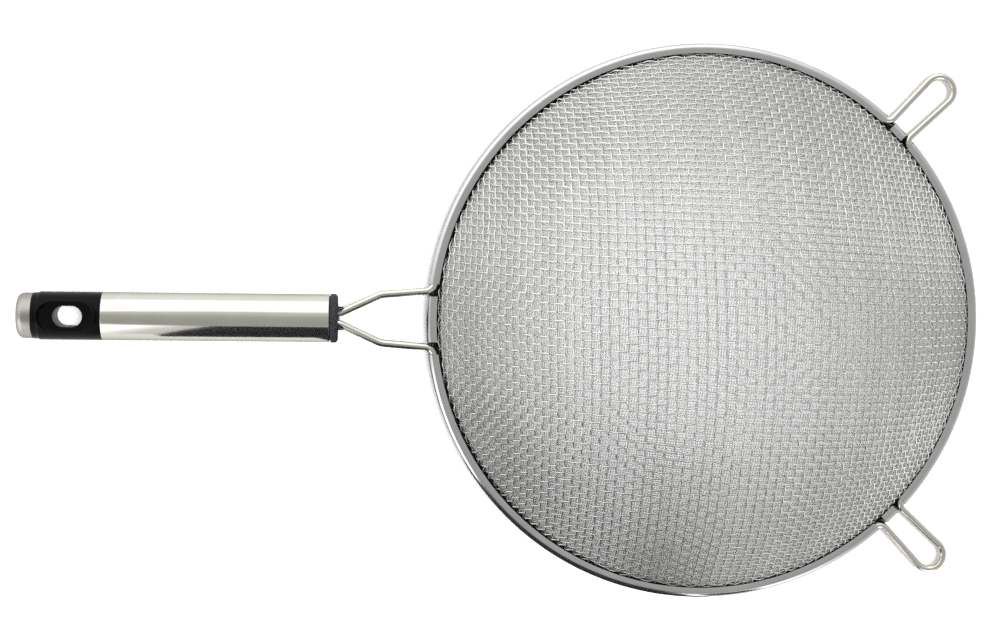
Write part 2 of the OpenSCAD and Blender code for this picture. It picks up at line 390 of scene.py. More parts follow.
def black_plastic():
    plastic = Shader("black_plastic", Base_Color=(0.001, 0.001, 0.0013, 1), IOR=1.4)
    plastic.shader.inputs["Specular IOR Level"].default_value = 0.16
    mould = plastic.noise(3.0, (1, 1, 1), 3)
    wear = plastic.noise(0.12, (0.5, 1, 1), 3)
    plastic.drive("Roughness", plastic.ramp(wear, [(0.3, 0.24), (0.7, 0.36)]))
    plastic.bump(mould, 0.2, 0.02 * MM)
    return plastic.material


def collar_plastic():
    plastic = Shader("collar_plastic", IOR=1.4)
    specks = plastic.noise(2.2, (1, 1, 1), 2, 0.7)
    colours = [(0.48, (0.007, 0.007, 0.009)), (0.68, (0.055, 0.057, 0.066))]
    plastic.drive("Base Color", plastic.ramp(specks, colours))
    plastic.drive("Roughness", plastic.ramp(specks, [(0.3, 0.5), (0.7, 0.75)]))
    plastic.bump(plastic.noise(1.4, (1, 1, 1), 3), 0.5, 0.08 * MM)
    return plastic.material


def fold_painted_shade():
    """Dull wire deep in the crevice between the cloths and the rim, painted near black: painted shade for
    the dark crevice.
    """
    name = "fold_painted_shade"
    if name in bpy.data.materials:
        return bpy.data.materials[name]
    return Shader(name, Base_Color=(0.03, 0.029, 0.027, 1), Metallic=0.6, Roughness=0.7).material


def hem_print_and_shade():
    """The steel where the folded edges are pressed into a band, with the wires' print; its near-black colour
    is painted shade for the crevice.
    """
    steel = Shader("hem_print_and_shade", Metallic=0.5, IOR=1.5)
    print_of_wires = steel.noise(1.2, (1, 1, 1), 2, 0.6)
    # Near black: painted shade of the crevice, with the wires' print as the only change in it.
    steel.drive("Base Color", steel.ramp(print_of_wires, [(0.35, 0.002), (0.7, 0.012)]))
    steel.drive("Roughness", steel.ramp(print_of_wires, [(0.3, 0.6), (0.7, 0.8)]))
    steel.bump(print_of_wires, 0.6, 0.1 * MM)
    return steel.material


CLOTH_SHADES = [(1.0, 1.0), (0.90, 1.3), (1.04, 0.8)]
BRIGHTEST = 0.98


def cloth_steel(name, colour, rough):
    """Bright drawn wire for the woven cloths. One wire is a little duller or brighter than the next, so
    there are three shades of it: CLOTH_SHADES says how each differs in brightness and in roughness."""
    out = []
    for number, (bright, blur) in enumerate(CLOTH_SHADES):
        tint = (*(min(c * bright, BRIGHTEST) for c in colour), 1)
        looks = {"Base_Color": tint, "Metallic": 1.0, "Roughness": rough * blur, "IOR": 2.5}
        out.append(Shader(f"{name}_{number + 1}", **looks).material)
    return out


# ---------------------------------------------------------------- the domes' shape
FOLD_SHOWS = 0.3 * MM
FOLD_BEND_R = 1.0 * MM
RIM_RISE = 1.9 * MM
RISE_H = 22 * MM
CLOTH_LEAN = 0.3 * MM
WAVE = 40 * MM
WAVE_FADES = 20 * MM

# Points on the wall, on the bend of the fold and on the whole line from the crown to the cloth's edge, and
# how many points on each side of one its slope is averaged over.
PROFILE_POINTS = 1500
FOLD_POINTS = 12
SURFACE_POINTS = 3000
SOFTENED = 4


class Dome:
    """The surface that a cloth follows, sunk below the CAD dome's outer face: crown, wall and folded edge.

    Over the last RISE_H above the rim it rises by RIM_RISE, as the channel pinches both cloths against its
    lip. A point of it is (s, turn): s is the length along the wall from the crown, turn the angle round the
    axis.
    """

    def __init__(self, sunk, fold_z, fold_w):
        a = np.radians(np.linspace(0, 90, PROFILE_POINTS))
        r = DOME_R * np.sin(a) ** (2 / DOME_CROWN)
        z = DOME_H * np.cos(a) ** (2 / DOME_SHOULDER)
        slope_r = DOME_CROWN / DOME_R * (r / DOME_R) ** (DOME_CROWN - 1)
        slope_z = DOME_SHOULDER / DOME_H * (z / DOME_H) ** (DOME_SHOULDER - 1)
        normal = unit(np.stack([slope_r, slope_z], -1))
        low = np.clip(1 - z / RISE_H, 0, 1)
        depth = (sunk - RIM_RISE * low * low * (3 - 2 * low))[:, None]
        wall = np.stack([r, z], -1) - depth * normal
        wall[0] = (0, DOME_H - sunk)
        sunk -= RIM_RISE
        wall[-1] = (DOME_R - sunk, 0)
        turn = np.linspace(0, math.pi / 2, FOLD_POINTS)[1:]
        foot_r = DOME_R - sunk
        out, down = FOLD_BEND_R * (1 - np.cos(turn)), FOLD_BEND_R * (1 - np.sin(turn))
        fold = np.stack([foot_r + out, fold_z + down], -1)
        edge = [[foot_r + fold_w, fold_z]]
        points = np.concatenate([wall, fold, edge])
        length = np.concatenate([[0], np.cumsum(np.hypot(*np.diff(points, axis=0).T))])
        self.s = np.linspace(0, length[-1], SURFACE_POINTS)
        self.r = np.interp(self.s, length, points[:, 0])
        self.z = np.interp(self.s, length, points[:, 1])
        self.rim_s = float(np.interp(len(wall) - 1, np.arange(len(points)), length))
        self.end_s = float(length[-1])
        self.fold_s = self.rim_s + FOLD_SHOWS
        dr, dz = np.gradient(self.r, self.s), np.gradient(self.z, self.s)
        width = 2 * SOFTENED + 1
        soft = np.ones(width) / width
        self.dr, self.dz = (np.convolve(np.pad(d, SOFTENED, "edge"), soft, "valid") for d in (dr, dz))
        self.dr[0], self.dz[0] = 1.0, 0.0

    def point(self, s, turn):
        r, z = np.interp(s, self.s, self.r), np.interp(s, self.s, self.z)
        over = np.maximum(s - self.end_s, 0)
        r = r + over
        return np.stack([r * np.cos(turn), r * np.sin(turn), z], -1)

    def normal(self, s, turn):
        dr, dz = np.interp(s, self.s, self.dr), np.interp(s, self.s, self.dz)
        return unit(np.stack([-dz * np.cos(turn), -dz * np.sin(turn), dr], -1))

    def along(self, s, turn):
        """How a point moves with s and with turn."""
        dr, dz = np.interp(s, self.s, self.dr), np.interp(s, self.s, self.dz)
        r = np.interp(s, self.s, self.r)
        down = np.stack([dr * np.cos(turn), dr * np.sin(turn), dz], -1)
        round_it = np.stack([-r * np.sin(turn), r * np.cos(turn), 0 * r], -1)
        return down, round_it


# How the place of a crossing is found: rounds of Newton's method, the most that its angle may change in
# one, the smallest determinant that still counts, and the share of a side's square by which it may miss.
ROUNDS = 12
MOST_TURN = 0.2
FLAT = 1e-14
MOST_MISS = 0.02


def fishnet(dome, pitch, heading, count):
    """One quarter of a cloth laid on the dome: every mesh keeps its side lengths and only shears.

    heading holds the two directions in which the middle wires leave the crown. Returns s and turn of each
    crossing, arrays of (count[0], count[1]), with nan where the cloth can't reach.
    """
    s = np.full(count, np.nan)
    turn = np.full(count, np.nan)
    s[:, 0], turn[:, 0] = np.arange(count[0]) * pitch[0], heading[0]
    s[0, :], turn[0, :] = np.arange(count[1]) * pitch[1], heading[1]
    for diagonal in range(2, count[0] + count[1] - 1):
        i = np.arange(max(1, diagonal - count[1] + 1), min(count[0], diagonal))
        j = diagonal - i
        a, b, c = (dome.point(s[p, q], turn[p, q]) for p, q in ((i - 1, j), (i, j - 1), (i - 1, j - 1)))
        guess = a + b - c
        ss = s[i - 1, j] + s[i, j - 1] - s[i - 1, j - 1]
        tt = np.arctan2(guess[:, 1], guess[:, 0])
        for _ in range(ROUNDS):
            d = dome.point(ss, tt)
            down, round_it = dome.along(ss, tt)
            f = np.stack([((d - p) ** 2).sum(-1) - w**2 for p, w in zip((a, b), pitch)], -1)
            m = 2 * np.stack(
                [
                    np.stack([((d - p) * down).sum(-1), ((d - p) * round_it).sum(-1)], -1)
                    for p in (a, b)
                ],
                -2,
            )
            det = m[:, 0, 0] * m[:, 1, 1] - m[:, 0, 1] * m[:, 1, 0]
            det = np.where(np.abs(det) < FLAT, np.nan, det)
            step_s = (f[:, 0] * m[:, 1, 1] - f[:, 1] * m[:, 0, 1]) / det
            step_t = (m[:, 0, 0] * f[:, 1] - m[:, 1, 0] * f[:, 0]) / det
            ss = ss - np.clip(step_s, -pitch[0], pitch[0])
            tt = tt - np.clip(step_t, -MOST_TURN, MOST_TURN)
        d = dome.point(ss, tt)
        miss = np.abs(((d - a) ** 2).sum(-1) - pitch[0] ** 2) > MOST_MISS * pitch[0] ** 2
        lost = miss | ~np.isfinite(ss) | (ss > dome.end_s + 3 * max(pitch))
        s[i, j], turn[i, j] = np.where(lost, np.nan, ss), np.where(lost, np.nan, tt)
    return s, turn


def whole_net(dome, pitch, heading):
    """The four quarters joined, as arrays (2m+1, 2n+1) of s and turn. The crown is the middle crossing."""
    m, n = (int(math.ceil(dome.end_s / p)) + 2 for p in pitch)
    s = np.full((2 * m + 1, 2 * n + 1), np.nan)
    turn = s.copy()
    for sign_i in (1, -1):
        for sign_j in (1, -1):
            first = heading[0] + (0 if sign_i > 0 else math.pi)
            second = heading[1] + (0 if sign_j > 0 else math.pi)
            qs, qt = fishnet(dome, pitch, (first, second), (m + 1, n + 1))
            i = m + sign_i * np.arange(m + 1)
            j = n + sign_j * np.arange(n + 1)
            s[np.ix_(i, j)], turn[np.ix_(i, j)] = qs, qt
    return s, turn


def wander(points, size):
    """Small smooth shifts of the wires, as on a cloth that was pressed by hand: one for each point."""
    x, y = points[..., 0] / WAVE, points[..., 1] / WAVE
    dx = np.sin(1.3 * x + 0.7 * y + 0.4) + 0.6 * np.sin(2.9 * y - 1.1 * x + 2.0)
    dy = np.sin(1.1 * y - 0.8 * x + 1.7) + 0.6 * np.sin(2.5 * x + 0.9 * y + 0.3)
    return size * np.stack([dx, dy, 0 * dx], -1)


def weave(dome, pitch, heading, wire_r, sides, steps, parts, drift):
    """The woven wires: a list of parts Skins for the wires along the first heading, one for those along the
    second, and one Skin for all the ends in the folded edge. steps lists (place, height) of the rings from
    one crossing to the next, and drift is how far the wires wander."""
    s, turn = whole_net(dome, pitch, heading)
    out = []
    fold = Skin()
    for direction in (0, 1):
        skins = [Skin() for _ in range(parts)]
        rows_s, rows_t = (s.T, turn.T) if direction == 0 else (s, turn)
        lines = [k for k in range(len(rows_s)) if np.isfinite(rows_s[k]).sum() > 2]
        for number, k in enumerate(lines):
            good = np.isfinite(rows_s[k])
            middle = len(good) // 2
            ends = np.flatnonzero(~good)
            low = ends[ends < middle].max() + 1 if (ends < middle).any() else 0
            high = ends[ends > middle].min() if (ends > middle).any() else len(good)
            if not good[middle] or high - low < 3:
                continue
            line_s, line_t = rows_s[k, low:high], rows_t[k, low:high]
            at = dome.point(line_s, line_t)
            up = dome.normal(line_s, line_t)
            side = (-1.0) ** (np.arange(low, high) + k + direction)
            places, heights = zip(*steps)
            t = (np.arange(high - low - 1)[:, None] + np.array(places)[None]).ravel()
            t = np.append(t, high - low - 1)
            base = np.floor(np.minimum(t, high - low - 2)).astype(int)
            f = (t - base)[:, None]
            path = at[base] * (1 - f) + at[base + 1] * f
            normal = unit(up[base] * (1 - f) + up[base + 1] * f)
            height = np.append(np.tile(heights, high - low - 1), -1.0) * side[base] * wire_r
            reach = line_s[base] * (1 - f[:, 0]) + line_s[base + 1] * f[:, 0]
            path = path + wander(path, drift) * np.clip((dome.rim_s - reach) / WAVE_FADES, 0, 1)[:, None]
            path = path + np.outer((np.clip(reach, 0, dome.rim_s) / dome.rim_s) ** 2, [CLOTH_LEAN, 0, 0])
            path = path + normal * height[:, None]
            inside = np.flatnonzero(reach <= dome.end_s)
            if len(inside) < 4:
                continue
            a, b = inside[0], inside[-1]
            path, normal = trimmed(path, normal, reach, a, b, dome.end_s)
            rings = swept_rings(path, normal, wire_r, sides)
            seen = np.flatnonzero(reach[a : b + 1] <= dome.fold_s)
            if len(seen) < 3:
                fold.tube(rings)
                continue
            first, last = seen[0], seen[-1]
            shade = number * (number + 7 * direction + 3) // 2 % len(CLOTH_SHADES)
            skins[number * parts // len(lines)].tube(rings[first : last + 1], shade)
            if first > 0:
                fold.tube(rings[: first + 1])
            if last < len(rings) - 1:
                fold.tube(rings[last:])
        out.append(skins)
    return out, fold


def trimmed(path, normal, reach, a, b, limit):
    """path from ring a to ring b, with its first and last points moved out to where reach is limit."""
    inner = path[a : b + 1]
    first, last = inner[:1], inner[-1:]
    if a > 0:
        f = (limit - reach[a]) / max(reach[a - 1] - reach[a], 1e-9)
        first = first + (path[a - 1] - path[a]) * min(f, 1)
    if b < len(path) - 1:
        f = (limit - reach[b]) / max(reach[b + 1] - reach[b], 1e-9)
        last = last + (path[b + 1] - path[b]) * min(f, 1)
    return np.concatenate([first, inner[1:-1], last]), normal[a : b + 1]


# ---------------------------------------------------------------- cloths
COARSE_WIRE_R = 0.36 * MM
COARSE_PITCH = (4.22 * MM, 3.73 * MM)
COARSE_HEADING = (math.radians(-2.4), math.radians(91.7))
FINE_WIRE_R = 0.18 * MM
FINE_PITCH = (1.152 * MM, 1.241 * MM)
FINE_HEADING = (math.radians(-2.7), math.radians(85.7))
HEM_INNER = 123.3 * MM
HEM_OUTER = 127.5 * MM
HEM_T = 0.4 * MM
HEM_RIPPLE = 0.06 * MM


def make_cloth(node, slot, dome, pitch, heading, wire_r, sides, steps, parts, drift, shades):
    """Weaves one cloth and adds its pieces: the folded ends, then the parts of the weft and of the warp."""
    ways, fold = weave(dome, pitch, heading, wire_r, sides, steps, parts, drift)
    skins = [(f"{node}_fold", fold)]
    for way, part in zip(("weft", "warp"), ways):
        skins += [(f"{node}_{way}_{k + 1}", skin) for k, skin in enumerate(part)]
    for tag, skin in skins:
        mesh = skin.mesh(tag)
        smooth_shade(mesh)
        # The folded ends take the near-black material that paints the crevice's shade.
        piece(add_object(tag, mesh), node, fold_painted_shade() if skin is fold else shades[0])
        if skin is not fold:
            for shade in shades[1:]:
                mesh.materials.append(shade)
            mesh.polygons.foreach_set("material_index", skin.face_shades())


def make_cloths():
    """The coarse cloth with its full crimp, under it the fine one with straight wires, and the hem."""
    fold_top = -WIRE_D / 2 - 0.1 * MM
    dome = Dome(2 * COARSE_WIRE_R, fold_top - 0.4 * MM, 4.0 * MM)
    crimp = ((0.0, 1.0), (0.17, 0.78), (0.5, 0.0), (0.83, -0.78))
    steel = cloth_steel("coarse_cloth", (0.82, 0.817, 0.805), 0.26)
    weaving = (COARSE_PITCH, COARSE_HEADING, COARSE_WIRE_R, 6, crimp, 2, 0.22 * MM)
    make_cloth("coarse_mesh", "coarse_cloth", dome, *weaving, steel)
    dome = Dome(4 * COARSE_WIRE_R + 2 * FINE_WIRE_R - 0.1 * MM, fold_top - 1.1 * MM, 4.4 * MM)
    steel = cloth_steel("fine_cloth", (0.97, 0.97, 0.96), 0.34)
    weaving = (FINE_PITCH, FINE_HEADING, FINE_WIRE_R, 4, ((0.0, 1.0),), 3, 0.12 * MM)
    make_cloth("fine_mesh", "fine_cloth", dome, *weaving, steel)
    make_hem(fold_top - 1.15 * MM)


def make_hem(middle):
    """The folded edges of both cloths, pressed flat under the wire ring into one band that is painted dark
    as the crevice's shade.
    """
    half = HEM_T / 2
    low, high = middle - half, middle + half
    outline = [(HEM_INNER, low), (HEM_OUTER, low), (HEM_OUTER, high), (HEM_INNER, high)]
    hem = lathe("fine_mesh_hem", rounded([(point, half * 0.9) for point in outline], 4), 360)
    for vert in hem.data.vertices:
        turn = math.atan2(vert.co.y, vert.co.x)
        vert.co.z += HEM_RIPPLE * math.sin(220 * turn) * math.sin(97 * turn + 1)
        vert.co.x += CLOTH_LEAN
    smooth_shade(hem.data, 50)
    piece(hem, "fine_mesh", hem_print_and_shade())


# ---------------------------------------------------------------- rim
SHOULDER_W = 2.7 * MM
SHOULDER_H = 2.6 * MM
SHOULDER_POWER = 2.2
LIP_DROP = 0.12 * MM


def rim_shoulder(steps=18):
    """The rolled outer edge of the rim's top, a superellipse from the outer wall up to the face."""
    turns = [math.pi / 2 * k / steps for k in range(steps + 1)]
    power = 2 / SHOULDER_POWER
    return [
        (
            RIM_R - SHOULDER_W * (1 - abs(math.cos(t)) ** power),
            RIM_TOP - SHOULDER_H * (1 - abs(math.sin(t)) ** power),
        )
        for t in turns
    ]


def make_rim():
    """The rolled channel: a turned C section with its six notches cut out down to the wire's lower side."""
    wall = RIM_R - RIM_STRIP_T
    lip = RIM_STRIP_T * 0.45
    inner_round = RIM_ROUND - RIM_STRIP_T
    corners = [
        ((RIM_R - RIM_FOOT_W, RIM_BOTTOM), lip),
        ((RIM_R, RIM_BOTTOM), RIM_ROUND),
        *((point, 0) for point in rim_shoulder()),
        ((RIM_R - RIM_FACE_W, RIM_TOP - LIP_DROP), lip * 0.7),
        ((RIM_R - RIM_FACE_W, RIM_TOP - RIM_STRIP_T), lip * 0.7),
        ((wall, RIM_TOP - RIM_STRIP_T), inner_round),
        ((wall, RIM_BOTTOM + RIM_STRIP_T), inner_round),
        ((RIM_R - RIM_FOOT_W, RIM_BOTTOM + RIM_STRIP_T), lip),
    ]
    rim = lathe("rim_channel_rolled", rounded(corners, 6), 360)
    floor = -WIRE_D / 2 - 0.05 * MM
    block_len, block_h = 12 * MM, 10 * MM
    cuts = [(math.pi, FORK_LAND, FORK_NOTCH_W)]
    cuts += [(side * HOOK_ANGLE, HOOK_LAND, HOOK_NOTCH_W) for side in (-1, 1)]
    bm = bmesh.new()
    for angle, land, width in cuts:
        for side in (-1, 1):
            middle = side * (land + width) / 2
            place = (
                Matrix.Rotation(angle, 4, "Z")
                @ Matrix.Translation((RIM_R - 5 * MM, middle, floor + block_h / 2))
                @ Matrix.Diagonal((block_len, width, block_h, 1))
            )
            bmesh.ops.create_cube(bm, size=1, matrix=place)
    mesh = bpy.data.meshes.new("notches")
    bm.to_mesh(mesh)
    bm.free()
    cut(rim, add_object("notches", mesh))
    smooth_shade(rim.data, 40)
    piece(rim, "rim_channel", rim_steel())


# ---------------------------------------------------------------- frame wire
def heading(a):
    return np.array([math.cos(a), math.sin(a)])


def left_of(a):
    return np.array([-math.sin(a), math.cos(a)])


def turn_centre(p, a, side, r):
    """Centre of the bend that leaves the line from p on heading a, on its side, and runs into the ring."""
    w = p + side * r * left_of(a)
    along = float(w @ heading(a))
    return w + (-along - math.sqrt(along * along - float(w @ w) + (RING_R + r) ** 2)) * heading(a)


def arc(c, r, a0, a1, step=math.radians(4)):
    n = max(2, int(math.ceil(abs(a1 - a0) / step)))
    return [c + r * heading(a0 + (a1 - a0) * i / n) for i in range(n + 1)]


def turned(points, a):
    return [p[0] * heading(a) + p[1] * left_of(a) for p in points]


def mirrored(points):
    return [np.array([p[0], -p[1]]) for p in points]


def wire_route():
    """The whole frame wire in the plane of the ring, from one tail round the bowl to the other."""
    quarter = math.pi / 2
    elbow_1 = np.array([COLLAR_FRONT + 0.6 * MM, TAIL_Y])
    cut_1 = ELBOW_R * math.tan(FORK_SLANT / 2)
    elbow_2 = elbow_1 + (PRONG_Y - TAIL_Y) / math.sin(FORK_SLANT) * heading(FORK_SLANT)
    cut_2 = SHOULDER_R * math.tan((FORK_SLANT - PRONG_SLANT) / 2)
    centre_2 = elbow_2 + cut_2 * heading(PRONG_SLANT) - SHOULDER_R * left_of(PRONG_SLANT)
    turn = turn_centre(elbow_2, PRONG_SLANT, 1, PRONG_TURN_R)
    meets = math.atan2(turn[1], turn[0])
    fork = [np.array([collar_low.x + 1 * MM, TAIL_Y])]
    fork += arc(elbow_1 + np.array([-cut_1, ELBOW_R]), ELBOW_R, -quarter, FORK_SLANT - quarter)
    fork += arc(centre_2, SHOULDER_R, quarter + FORK_SLANT, quarter + PRONG_SLANT)
    fork += arc(turn, PRONG_TURN_R, PRONG_SLANT - quarter, meets - math.pi)

    leg_top = np.array([HOOK_REACH, 0]) + HOOK_END_R * heading(quarter + HOOK_TAPER)
    hook_turn = turn_centre(leg_top, math.pi + HOOK_TAPER, -1, HOOK_TURN_R)
    hook_meets = math.atan2(hook_turn[1], hook_turn[0])
    foot = arc(hook_turn, HOOK_TURN_R, math.pi + hook_meets, 3 * quarter + HOOK_TAPER)
    end = arc(np.array([HOOK_REACH, 0]), HOOK_END_R, quarter + HOOK_TAPER, -quarter - HOOK_TAPER)
    hook = foot + end + mirrored(foot)[::-1]

    far = arc(np.zeros(2), RING_R, meets, HOOK_ANGLE + hook_meets, math.radians(1.5))[1:-1]
    near = arc(np.zeros(2), RING_R, HOOK_ANGLE - hook_meets, 0, math.radians(1.5))[1:]
    half = fork + far + turned(hook, HOOK_ANGLE) + near
    return half + mirrored(half)[::-1][1:]


def refined(points, longest):
    """points with extra ones on each stretch longer than longest."""
    out = [points[0]]
    for a, b in zip(points, points[1:]):
        n = max(1, int(np.linalg.norm(b - a) / longest))
        out += [a + (b - a) * k / n for k in range(1, n + 1)]
    return np.array(out)


def make_frame_wire():
    flat = refined(wire_route(), 3 * MM)
    path = np.concatenate([flat, np.zeros((len(flat), 1))], 1)
    up = np.broadcast_to([0.0, 0.0, 1.0], path.shape)
    skin = Skin()
    skin.tube(swept_rings(path, up, WIRE_D / 2, 20))
    mesh = skin.mesh("frame_wire_bent")
    smooth_shade(mesh, 60)
    piece(add_object("frame_wire_bent", mesh), "frame_wire", frame_steel())


# ---------------------------------------------------------------- handle
def make_tube():
    lip = 0.25 * MM
    corners = [
        (TUBE_R - TUBE_WALL, tube_high.x),
        (TUBE_R, tube_high.x),
        (TUBE_R, tube_low.x),
        (TUBE_R - TUBE_WALL, tube_low.x),
    ]
    tube = lathe("handle_tube_shell", rounded([(point, lip) for point in corners], 4), 128, "X")
    smooth_shade(tube.data, 50)
    piece(tube, "handle_tube", tube_steel())


def make_sleeve():
    """The black end of the handle. pocket is the scooped oval's wall in millimetres, as (outwards, up)."""
    step_r, step_len = TUBE_R - 0.45 * MM, 2.6 * MM
    spigot_r = CAP_R - 0.85 * MM
    corners = [
        ((0, sleeve_low.x), 0),
        ((0, sleeve_high.x), 0),
        ((PLUG_R, sleeve_high.x), 1.0 * MM),
        ((PLUG_R, SLEEVE_FRONT), 0),
        ((TUBE_R, SLEEVE_FRONT), 0.25 * MM),
        ((TUBE_R, SLEEVE_REAR + step_len + 0.5 * MM), 0.8 * MM),
        ((step_r, SLEEVE_REAR + step_len - 0.4 * MM), 0.5 * MM),
        ((step_r, SLEEVE_REAR), 0.5 * MM),
        ((spigot_r, SLEEVE_REAR), 0),
        ((spigot_r, sleeve_low.x), 0.4 * MM),
    ]
    sleeve = lathe("hanger_sleeve_body", rounded(corners), 160, "X")

    pocket = [(-0.6, 0), (-0.25, 0.12), (0.15, 0.5), (0.6, 1.2), (1.4, 2.8), (2.4, 5.0)]
    levels = [(POCKET_Z + up * MM, 2 * wider * MM) for wider, up in pocket]
    for side in (1, -1):
        rings = [(side * z, POCKET_LEN + more, POCKET_W + more) for z, more in levels]
        cut(sleeve, slot_loft("pocket", rings))

    flare = 0.5 * MM
    turns = [k * math.pi / 12 for k in range(7)]
    top = [(POCKET_Z - flare + flare * math.sin(t), flare * (1 - math.cos(t))) for t in turns]
    top.append((POCKET_Z + 6 * MM, flare * 1.2))
    section = [(-h, g) for h, g in top[::-1]] + top
    cut(sleeve, slot_loft("hole", [(h, HOLE_LEN + 2 * g, HOLE_W + 2 * g) for h, g in section]))
    smooth_shade(sleeve.data, 28)
    piece(sleeve, "hanger_sleeve", black_plastic())


def slot_loft(name, rings):
    """An upright solid over the hanging hole's middle, through slots of (height, length, width)."""
    bm = bmesh.new()
    loops = []
    for height, length, width in rings:
        loops.append([bm.verts.new((HOLE_X + x, y, height)) for x, y in slot_outline(length, width, 24)])
    for lower, upper in zip(loops, loops[1:]):
        for k in range(len(lower)):
            m = (k + 1) % len(lower)
            bm.faces.new([lower[k], lower[m], upper[m], upper[k]])
    bm.faces.new(loops[0][::-1])
    bm.faces.new(loops[-1])
    bmesh.ops.recalc_face_normals(bm, faces=bm.faces)
    mesh = bpy.data.meshes.new(name)
    bm.to_mesh(mesh)
    bm.free()
    return add_object(name, mesh)


def make_cap():
    wall, round_r = 0.8 * MM, 3.2 * MM
    low, high = cap_low.x, cap_high.x
    dish = 0.5 * MM
    corners = [
        ((0, low + dish * 0.2), 0),
        ((CAP_R * 0.5, low), 4 * MM),
        ((CAP_R, low), round_r),
        ((CAP_R, high), 0.3 * MM),
        ((CAP_R - wall, high), 0.3 * MM),
        ((CAP_R - wall, low + wall), round_r - wall),
        ((0, low + wall), 0),
    ]
    cap = lathe("end_cap_cup", rounded(corners, 10), 128, "X")
    smooth_shade(cap.data, 40)
    piece(cap, "end_cap", cap_steel())


def make_collar():
    corners = [
        ((0, collar_low.x), 0),
        ((0, COLLAR_FRONT), 0),
        ((COLLAR_R - 1.0 * MM, COLLAR_FRONT), 0.8 * MM),
        ((COLLAR_R, COLLAR_FRONT - 0.9 * MM), 0.9 * MM),
        ((COLLAR_R, COLLAR_REAR), 0.5 * MM),
        ((PLUG_R, COLLAR_REAR), 0.1 * MM),
        ((PLUG_R, collar_low.x), 0.6 * MM),
    ]
    collar = lathe("front_collar_body", rounded(corners[::-1]), 128, "X")
    smooth_shade(collar.data, 35)
    material = collar_plastic()
    piece(collar, "front_collar", material)
    piece(make_guides(), "front_collar", material)


def make_guides():
    """The tab outside each prong in front of the collar, and the short web between them."""
    half = WIRE_D / 2 + 0.15 * MM
    inner, outer = TAIL_Y - half, TAIL_Y + half
    back, web, tip = COLLAR_FRONT - 1 * MM, COLLAR_FRONT + 0.8 * MM, COLLAR_FRONT + GUIDE_LEN
    bend = COLLAR_FRONT + 0.6 * MM - half * math.tan(FORK_SLANT / 2)
    slope = math.tan(FORK_SLANT)
    flared = outer + (tip - bend) * slope
    tab = [(back, outer), (bend, outer), (tip, flared), (tip, GUIDE_W / 2), (back, GUIDE_W / 2)]
    other_tab = [(x, -y) for x, y in tab[::-1]]
    shapes = [tab, other_tab, [(back, -inner), (web, -inner), (web, inner), (back, inner)]]
    bm = bmesh.new()
    for shape in shapes:
        lower, upper = ([bm.verts.new((x, y, z)) for x, y in shape] for z in (-GUIDE_H / 2, GUIDE_H / 2))
        bm.faces.new(lower[::-1])
        bm.faces.new(upper)
        for k in range(len(shape)):
            m = (k + 1) % len(shape)
            bm.faces.new([lower[k], lower[m], upper[m], upper[k]])
    bmesh.ops.recalc_face_normals(bm, faces=bm.faces)
    bmesh.ops.bevel(bm, geom=bm.edges[:], offset=0.12 * MM, segments=2, profile=0.5, affect="EDGES")
    mesh = bpy.data.meshes.new("front_collar_guides")
    bm.to_mesh(mesh)
    bm.free()
    guides = add_object("front_collar_guides", mesh)
    smooth_shade(guides.data, 40)
    return guides


# ---------------------------------------------------------------- studio
FLOOR_HALF = 3.0


def floor_height(x):
    """The table's height under x: a tenth of a millimetre under the collar and the rim's far edge."""
    rear, far = (COLLAR_FRONT, -COLLAR_R - 0.1 * MM), (RIM_R - RIM_ROUND, RIM_BOTTOM - 0.1 * MM)
    return rear[1] + (x - rear[0]) * (far[1] - rear[1]) / (far[0] - rear[0])


def sheet(name, outline, material):
    """A flat face through outline's points, in metres, that belongs to the studio."""
    bm = bmesh.new()
    bm.faces.new([bm.verts.new(p) for p in outline])
    mesh = bpy.data.meshes.new(name)
    bm.to_mesh(mesh)
    bm.free()
    obj = add_object(name, mesh)
    obj.data.materials.append(material)
    return obj


def make_floor():
    """A pale table that the collar and the rim's far edge rest on. Reflections show it darker."""
    square = [(-FLOOR_HALF, -FLOOR_HALF), (FLOOR_HALF, -FLOOR_HALF)]
    square += [(-x, -y) for x, y in square]
    corners = [(x, y, floor_height(x)) for x, y in square]
    paper = Shader("floor_paper", Roughness=1.0)
    paper.shader.inputs["Specular IOR Level"].default_value = 0
    ray = paper.nodes.new("ShaderNodeLightPath")
    shade = paper.ramp(ray.outputs["Is Glossy Ray"], [(0.0, (0.93, 0.93, 0.94)), (1.0, (0.50, 0.50, 0.49))])
    paper.drive("Base Color", shade)
    sheet("floor", corners, paper.material)


# In millimetres: the mat's near edge under the handle, the height of the cards' foot, and each card's left
# and right end, its top, and how much further to the left its foot reaches. RIM_MAT holds the bearings, in
# degrees, at which the mat's edge follows the rim.
HANDLE_MAT = [(-262, -68), (-178, -68), (-173, -6), (-158, 3), (-136, 3), (-136, -80)]
RIM_MAT = range(-147, -86, 6)
MAT_UNDER_RIM = 1.5 * MM
MAT_RISE = 0.4 * MM
CARD_Y = -245 * MM
CARD_FOOT = -20
CARDS = [(-262, 10, 290, 34), (24, 75, 130, 0)]


